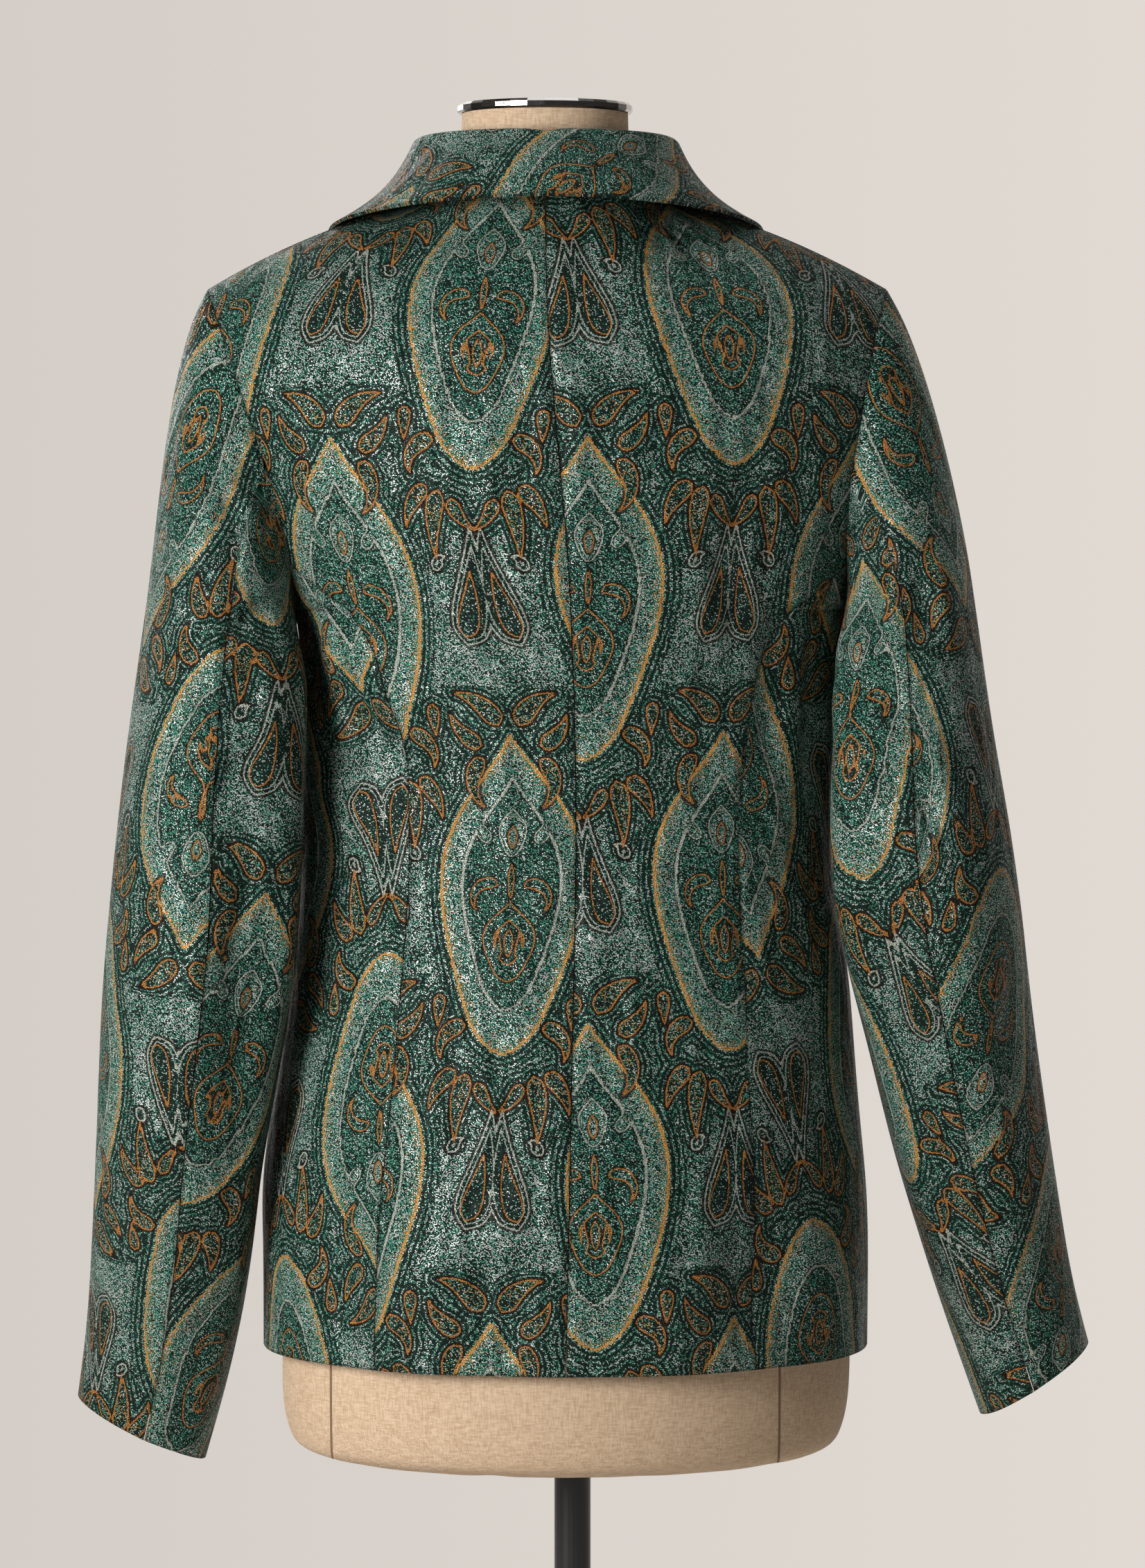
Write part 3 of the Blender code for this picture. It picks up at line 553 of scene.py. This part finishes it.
DARK = srgb(8, 16, 13)
GREEN = srgb(24, 48, 41)
TEAL = srgb(84, 174, 150)
SILVER = srgb(236, 244, 238)
GOLD = srgb(222, 164, 86)
ORANGE = srgb(198, 132, 66)
WHITE = srgb(192, 200, 188)
# Dark brown that is partly a woven dark outline and partly painted shadow and shade beside the lines and
# along the seams.
SHADE_AND_OUTLINE_BROWN = srgb(22, 14, 9)

jacquard, shader, thread = new_finish("paisley jacquard")
cut = thread.make("ShaderNodeUVMap", {}, uv_map="cut")
row = cut.part(1) * WEAVE_ROWS
lane = cut.part(0) * WEAVE_LANES + row * 0.5
grid = thread.make("ShaderNodeCombineXYZ", {0: lane, 1: row})
cells = thread.make("ShaderNodeTexVoronoi", {"Vector": grid, "Scale": 1.0, "Randomness": 0.6},
                    voronoi_dimensions="2D")
picks = Thread(cells.tree, cells.socket.node.outputs["Color"])
chance, second = picks.part(0), picks.part(1)
pick = 1 - cells.over(0.32, 0.48)
clouds = thread.make(
    "ShaderNodeTexNoise", {"Vector": cut, "Scale": 42.0, "Detail": 2.0}, noise_dimensions="2D")
jag = (second - 0.5) * 0.5


def field(name):
    return thread.make("ShaderNodeAttribute", {}, output=2, attribute_name=name)


medallion = field("medallion")
white, drop = field("white") + jag, field("drop") + jag
orange, gold = field("orange") + jag, field("gold") + jag
inside = medallion < 0
around = medallion.sum("MINIMUM", medallion, gold + 2.0)
shade = (1 - around.over(7.0, 14.0)) * (1 - inside)
heart = inside * (white < 0)
leaf = gold < 0
pear = drop < 0
ripple = (around * 1.9).sine().over(-0.4, 0.4)
silver_share = clouds.over(0.3, 0.7).between(0.24, 0.60)
silver_share = shade.between(silver_share, ripple.between(0.0, 0.26))
silver_share = inside.between(silver_share, 0.33)
silver_share = heart.between(silver_share, 0.13)
silver_share = pear.between(silver_share, 0.10)
silver_share = leaf.between(silver_share, 0.12)
teal_share = shade.between(0.20, ripple.between(0.06, 0.36))
teal_share = inside.between(teal_share, 0.40)
teal_share = heart.between(teal_share, 0.32)
teal_share = pear.between(teal_share, 0.10)
teal_share = leaf.between(teal_share, 0.18)
gold_share = inside.between(0.0, (1 - heart) * (0.02 + 0.26 * (medallion + 6.0).over(0.0, 6.0)))
gold_share = leaf.between(gold_share, 0.12)
silver_dot = chance < silver_share
dots = (chance < silver_share + teal_share + gold_share).colour(GREEN, GOLD)
dots = (chance < silver_share + teal_share).colour(dots, TEAL)
dots = silver_dot.colour(dots, SILVER)
base = (pick * second.between(0.55, 1.0)).colour(DARK, dots)
# Painted shadow: a dark brown band just outside the gold, orange and drop lines and on both sides of the
# white lines, partly a woven dark outline and partly the shadow of the raised lines.
outline_and_painted_shadow = (gold > 0.2) * (gold < 1.9) + (orange > 0.2) * (orange < 1.2) + (drop > 0.2) * (drop < 1.9)
outline_and_painted_shadow = outline_and_painted_shadow + (abs(abs(white) - 0.8) < 0.4) * 0.6
base = (outline_and_painted_shadow * 0.85).colour(base, SHADE_AND_OUTLINE_BROWN)
white_line = abs(white) < 0.34
drop_line = (abs(drop) < 0.46) + (abs(drop + 2.5) < 0.32)
orange_line = abs(orange) < 0.40
leaf_line = abs(gold) < 0.44
edge_line = (abs(medallion + jag) < 0.46) * (1 - leaf)
thick = pick.between(0.16, 1.0)
base = (white_line * thick).colour(base, WHITE)
base = (drop_line * thick).colour(base, WHITE)
base = (orange_line * thick).colour(base, ORANGE)
base = (edge_line * thick).colour(base, GOLD)
base = (leaf_line * thick).colour(base, ORANGE)
lines = white_line + drop_line + edge_line + leaf_line + orange_line
edge = field("edge")
# Painted shade: the cloth turns towards dark brown within about 2 mm of every seam and turned edge, standing
# in for the shade in the seam's dip.
painted_seam_shade = 1 - edge.over(0.2, 2.2)
base = (painted_seam_shade * 0.4).colour(base, SHADE_AND_OUTLINE_BROWN)
puckers = thread.make(
    "ShaderNodeTexNoise", {"Vector": cut, "Scale": 130.0, "Detail": 1.0}, noise_dimensions="2D")
drape = thread.make("ShaderNodeCombineXYZ", {0: cut.part(0) * 2.1, 1: cut.part(1)})
rumple = thread.make(
    "ShaderNodeTexNoise", {"Vector": drape, "Scale": 26.0, "Detail": 1.5}, noise_dimensions="2D")
relief = pick * 0.14 + lines * 0.18 + puckers * 1.5 + rumple * 6.0 + edge.over(0.0, 5.0) * 0.9
bump = thread.make("ShaderNodeBump", {"Height": relief, "Strength": 1.0, "Distance": 0.001})
feed(
    shader, base_color=base, roughness=pick.between(0.75, 0.42), metallic=pick * silver_dot * 0.32,
    specular_ior_level=0.12, normal=bump)

BACK_CREASES = [
    (0.156, 1.213, 0.147, 1.158, 0.007, -0.003),
    (0.144, 1.204, 0.133, 1.147, 0.008, 0.002),
    (0.145, 1.182, 0.101, 1.133, 0.009, -0.0022),
    (0.141, 1.195, 0.090, 1.147, 0.01, 0.0018),
    (0.147, 1.133, 0.114, 1.111, 0.008, -0.0016),
    (0.149, 1.116, 0.110, 1.094, 0.01, 0.0015),
    (-0.120, 1.230, -0.112, 1.116, 0.008, -0.0022),
    (-0.128, 1.217, -0.121, 1.094, 0.008, 0.002),
    (-0.139, 1.208, -0.134, 1.111, 0.007, -0.0022),
    (0.075, 1.283, 0.068, 1.160, 0.014, 0.0016),
    (0.089, 1.274, 0.081, 1.169, 0.012, -0.0014),
    (-0.075, 1.309, -0.070, 1.195, 0.014, 0.0014),
    (-0.090, 1.292, -0.086, 1.177, 0.012, -0.0014),
    (0.123, 0.870, 0.132, 0.799, 0.014, -0.002),
    (0.092, 0.879, 0.092, 0.791, 0.016, 0.002),
    (0.040, 0.861, 0.040, 0.786, 0.016, -0.0012),
    (-0.053, 0.870, -0.057, 0.786, 0.018, 0.0015),
    (-0.101, 0.870, -0.110, 0.791, 0.014, -0.0018),
    (-0.141, 0.879, -0.147, 0.799, 0.014, 0.002),
]
tailor(
    "back_right", "right_back_panel", 3, True, (2, (-0.0082, 1.3056), (0, 80), 0.6),
    BACK_CREASES, body_middle)
tailor(
    "back_left", "left_back_panel", 3, True,
    (2, (0.0334, 1.1387), (0, 80), 0, (0, 1, 0), (1.12, 1.29, 0.020)),
    BACK_CREASES, body_middle)

# Side backs: narrow panels from the princess seams to the side seams, cut from the same cloth upside down.
# They are sewn to the backs along a curved seam that gives the jacket its waist.
tailor(
    "side_back_right", "right_side_panel", 3, True, (2, (-0.1045, 1.0213), (0, 80), 174.5),
    BACK_CREASES, body_middle, rim=26)
tailor(
    "side_back_left", "left_side_panel", 3, True,
    (2, (0.1076, 0.8442), (0, 80), ((0.1196, 1.1774), (0, -254))),
    BACK_CREASES, body_middle, rim=26)

# Fronts: two panels of the same cloth, the right lapped over the left and buttoned at the waist.
# Each is sewn to the side back and shoulder, and its upper edge turns back as the lapel.
FRONT = (0, -1, 0)
tailor(
    "front_left", "left_front_panel", 2, True, (2, (0.074, 1.0), (0, 0), 0, FRONT), [], body_middle)
tailor(
    "front_right", "right_front_panel", 2, True, (2, (-0.074, 1.0), (0, 0), 0, FRONT), [], body_middle)
tailor(
    "lapel_left", "left_lapel", 3, False, (2, (0.05, 1.30), (0, 0), 0, FRONT), [], body_middle)
tailor(
    "lapel_right", "right_lapel", 3, False, (2, (-0.05, 1.30), (0, 0), 0, FRONT), [], body_middle)

# Sleeves: an upper and an under piece each, seamed behind the arm and in front, eased into the armhole.
# They hang empty from the shoulder, so the cloth swings forward and breaks a little at the elbow.


def sleeve_middle(heights, across, depth):
    """Gives the function for a sleeve's middle line level with each point."""
    def middle(points):
        level = points[:, 2]
        return np.column_stack((np.interp(level, heights, across), np.interp(level, heights, depth), level))

    return middle


left_middle = sleeve_middle(
    (0.736, 0.788, 0.851, 0.911, 0.977, 1.039, 1.117, 1.184),
    (0.2515, 0.2399, 0.2308, 0.2246, 0.2169, 0.2108, 0.2072, 0.2023),
    (-0.024, -0.010, 0.012, 0.032, 0.036, 0.033, 0.029, 0.014))
right_middle = sleeve_middle(
    (0.763, 0.815, 0.864, 0.912, 0.977, 1.025, 1.081, 1.135, 1.199),
    (-0.2705, -0.2536, -0.2408, -0.2293, -0.2160, -0.2063, -0.1984, -0.1960, -0.1933),
    (-0.036, -0.023, -0.010, 0.004, 0.022, 0.036, 0.040, 0.034, 0.012))
LEFT_CREASES = [
    (0.174, 1.163, 0.211, 1.147, 0.008, -0.0026),
    (0.170, 1.152, 0.215, 1.131, 0.009, 0.0024),
    (0.176, 1.129, 0.202, 1.116, 0.008, -0.002),
    (0.167, 1.225, 0.164, 1.010, 0.011, 0.0016),
    (0.202, 1.288, 0.184, 1.254, 0.005, -0.002),
    (0.196, 1.290, 0.178, 1.256, 0.005, 0.0016),
    (0.191, 1.261, 0.189, 1.229, 0.005, -0.002),
    (0.183, 1.258, 0.181, 1.228, 0.005, 0.0016),
    (0.190, 1.200, 0.172, 1.220, 0.005, -0.002),
    (0.192, 1.208, 0.172, 1.228, 0.005, 0.0016),
    (0.190, 1.178, 0.176, 1.184, 0.005, -0.0018),
    (0.169, 1.191, 0.207, 1.177, 0.009, 0.002),
    (0.176, 1.116, 0.189, 0.896, 0.012, -0.0024),
    (0.209, 1.094, 0.219, 0.918, 0.016, 0.0022),
    (0.242, 0.835, 0.209, 0.813, 0.012, 0.0016),
    (0.215, 1.309, 0.176, 1.274, 0.01, -0.002),
    (0.218, 1.287, 0.180, 1.248, 0.012, 0.0018),
    (0.250, 0.984, 0.233, 0.931, 0.012, -0.0018),
]
RIGHT_CREASES = [
    (-0.154, 1.177, -0.198, 1.147, 0.008, -0.003),
    (-0.156, 1.160, -0.204, 1.127, 0.009, 0.0026),
    (-0.158, 1.138, -0.198, 1.111, 0.008, -0.0022),
    (-0.160, 1.195, -0.193, 1.182, 0.009, 0.002),
    (-0.166, 1.232, -0.171, 1.186, 0.005, -0.002),
    (-0.174, 1.232, -0.179, 1.188, 0.005, 0.0016),
    (-0.187, 1.146, -0.205, 1.083, 0.006, -0.0022),
    (-0.196, 1.146, -0.214, 1.085, 0.006, 0.0018),
    (-0.195, 1.246, -0.203, 1.190, 0.006, -0.002),
    (-0.204, 1.246, -0.212, 1.190, 0.006, 0.0016),
    (-0.168, 1.094, -0.202, 0.896, 0.012, -0.0024),
    (-0.209, 1.116, -0.234, 0.918, 0.016, 0.0022),
    (-0.233, 0.835, -0.268, 0.826, 0.012, 0.0016),
    (-0.176, 1.309, -0.202, 1.274, 0.01, -0.002),
    (-0.176, 1.287, -0.202, 1.248, 0.012, 0.0018),
    (-0.246, 1.006, -0.250, 0.940, 0.012, -0.0018),
]
LOOSE_STRIP = 0.155
for node, name, cut, rows, middle in (
    ("upper_sleeve_left", "left_upper_sleeve",
     (2, (0.2074, 1.0508), (0, -113), 186, (0, 1, 0), None, LOOSE_STRIP), LEFT_CREASES, left_middle),
    ("under_sleeve_left", "left_under_sleeve",
     (2, (0.190, 0.97), (0, 0), 4), LEFT_CREASES, left_middle),
    ("upper_sleeve_right", "right_upper_sleeve",
     (2, (-0.2245, 0.9106), (0, -113), 178, (0, 1, 0), None, LOOSE_STRIP), RIGHT_CREASES, right_middle),
    ("under_sleeve_right", "right_under_sleeve",
     (2, (-0.1709, 1.0496), (0, -113), -8), RIGHT_CREASES, right_middle),
):
    tailor(node, name, 2, True, cut, rows, middle)

# Collar: a stand and a fall cut in one strip, folded over and sewn to the neckline.
# It rolls away from the neck and its ends stand a little off the shoulders.
tailor(
    "collar", "turned_collar", 3, False, (0, (0.0, 1.43), (0, 0), 45), [], body_middle)

# Buttons: two turned horn-like buttons sewn through the right front at the waist.
# Their solids already have the right dished shape; a cross of dark green thread holds each one.
STITCH_SPREAD = 0.0019
STITCH_RADIUS = 0.0004
STITCH_RISE = 0.0004
horn, shader, thread = new_finish("dark horn")
place = thread.make("ShaderNodeTexCoord", {}, output=3)
streak = thread.make(
    "ShaderNodeTexNoise", {"Vector": place, "Scale": 160.0, "Detail": 4.0, "Distortion": 1.5})
feed(shader, base_color=streak.over(0.35, 0.7).colour(srgb(22, 24, 22), srgb(62, 54, 44)), roughness=0.32)
yarn, shader, thread = new_finish("sewing thread")
place = thread.make("ShaderNodeTexCoord", {}, output=3)
twist = ((place.part(0) + place.part(2)) * 9000.0).sine()
feed(shader, base_color=twist.over(-0.6, 0.6).colour(srgb(28, 52, 44), srgb(58, 92, 80)), roughness=0.7)
for node, name in (("button_upper", "upper_button_thread"), ("button_lower", "lower_button_thread")):
    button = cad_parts[node]
    dress(button, horn)
    rounds = places(button)
    front_face = max(button.data.polygons, key=lambda face: -face.normal.y * (face.area > 1e-6))
    floor_normal = front_face.normal.copy()
    middle = Vector((rounds.max(0) + rounds.min(0)) / 2)
    dish = [face for face in button.data.polygons if face.normal.dot(floor_normal) > 0.999]
    level = min(Vector(face.center).dot(floor_normal) for face in dish)
    centre = middle + floor_normal * (level - middle.dot(floor_normal) + STITCH_RISE)
    across = floor_normal.cross(Vector((0.0, 0.0, 1.0))).normalized()
    upward = across.cross(floor_normal)
    stitches = []
    for lean in (1, -1):
        run = (across * lean + upward).normalized()
        bpy.ops.object.select_all(action="DESELECT")
        bpy.ops.mesh.primitive_cylinder_add(vertices=10, radius=STITCH_RADIUS, depth=STITCH_SPREAD * 2.8)
        stitch = bpy.context.object
        bpy.ops.object.mode_set(mode="EDIT")
        bpy.ops.mesh.select_all(action="SELECT")
        bpy.ops.mesh.bevel(offset=STITCH_RADIUS * 0.6, segments=2, affect="EDGES")
        bpy.ops.object.mode_set(mode="OBJECT")
        turn = run.to_track_quat("Z", "Y").to_matrix().to_4x4()
        stitch.data.transform(turn)
        stitch.data.transform(Matrix.Translation(centre + floor_normal * STITCH_RADIUS * (lean + 1)))
        stitches.append(stitch)
    bpy.ops.object.select_all(action="DESELECT")
    for stitch in stitches:
        stitch.select_set(True)
    bpy.context.view_layer.objects.active = stitches[0]
    bpy.ops.object.join()
    stitches[0].name = name
    bpy.ops.object.shade_smooth_by_angle(angle=math.radians(40))
    dress(stitches[0], yarn)
    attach(stitches[0], "root")

# Studio: a round pale floor in a pale surround that is brightest behind the object, like a lit paper wall.
# A soft key light stands at the camera's left, with one more light overhead and one in front of the jacket.
FLOOR_RADIUS = 3.2
CAMERA_TILT = math.radians(2.2)
CAMERA_TARGET = (0.0, 0.0, 1.112)
CAMERA_REACH = 3.284
SURROUND = srgb(255, 248, 240)
bpy.ops.object.select_all(action="DESELECT")
bpy.ops.mesh.primitive_circle_add(vertices=128, radius=FLOOR_RADIUS, fill_type="NGON")
floor = bpy.context.object
floor.name = "studio_floor"
paper, shader, thread = new_finish("studio paper")
feed(shader, base_color=srgb(238, 233, 227), roughness=0.9)
floor.data.materials.append(paper)


def soft_light(name, place, target, size, power, colour):
    """Square area light turned to a place."""
    lamp = bpy.data.lights.new(name, "AREA")
    lamp.size = size
    lamp.energy = power
    lamp.color = colour
    holder = bpy.data.objects.new(name, lamp)
    holder.location = place
    holder.rotation_euler = (Vector(place) - Vector(target)).to_track_quat("Z", "Y").to_euler()
    bpy.context.scene.collection.objects.link(holder)


soft_light("key", (1.32, 1.48, 1.44), (0.0, 0.0, 1.1), 0.8, 46.0, (1.0, 0.985, 0.96))
soft_light("overhead", (-0.5, 0.5, 4.2), (0.0, 0.0, 1.1), 2.6, 33.0, (1.0, 0.985, 0.97))
soft_light("front", (1.8, -3.2, 2.4), (0.0, 0.0, 1.1), 1.6, 40.0, (1.0, 0.985, 0.97))
world = bpy.data.worlds.new("studio air")
world.use_nodes = True
air = world.node_tree.nodes["Background"]
thread = Thread(world.node_tree)
way = thread.make("ShaderNodeTexCoord", {}, output=3)
behind = (0 - way.part(1)).over(0.4, 0.95)
below = (0 - way.part(2)).over(0.02, 0.16)
glow = thread.sum("MAXIMUM", behind, below) * (0 - way.part(0)).over(-0.3, 0.3).between(0.86, 1.14)
feed(air, color=SURROUND, strength=glow.between(0.03, 0.70))
bpy.context.scene.world = world
bpy.context.scene.view_settings.view_transform = "Standard"

camera = bpy.data.cameras.new("photo camera")
camera.lens = 130.5
camera.sensor_width = 36.0
eye = bpy.data.objects.new("photo camera", camera)
back = Vector((0.0, math.cos(CAMERA_TILT), math.sin(CAMERA_TILT)))
eye.location = Vector(CAMERA_TARGET) + back * CAMERA_REACH
eye.rotation_euler = back.to_track_quat("Z", "Y").to_euler()
bpy.context.scene.collection.objects.link(eye)
bpy.context.scene.camera = eye
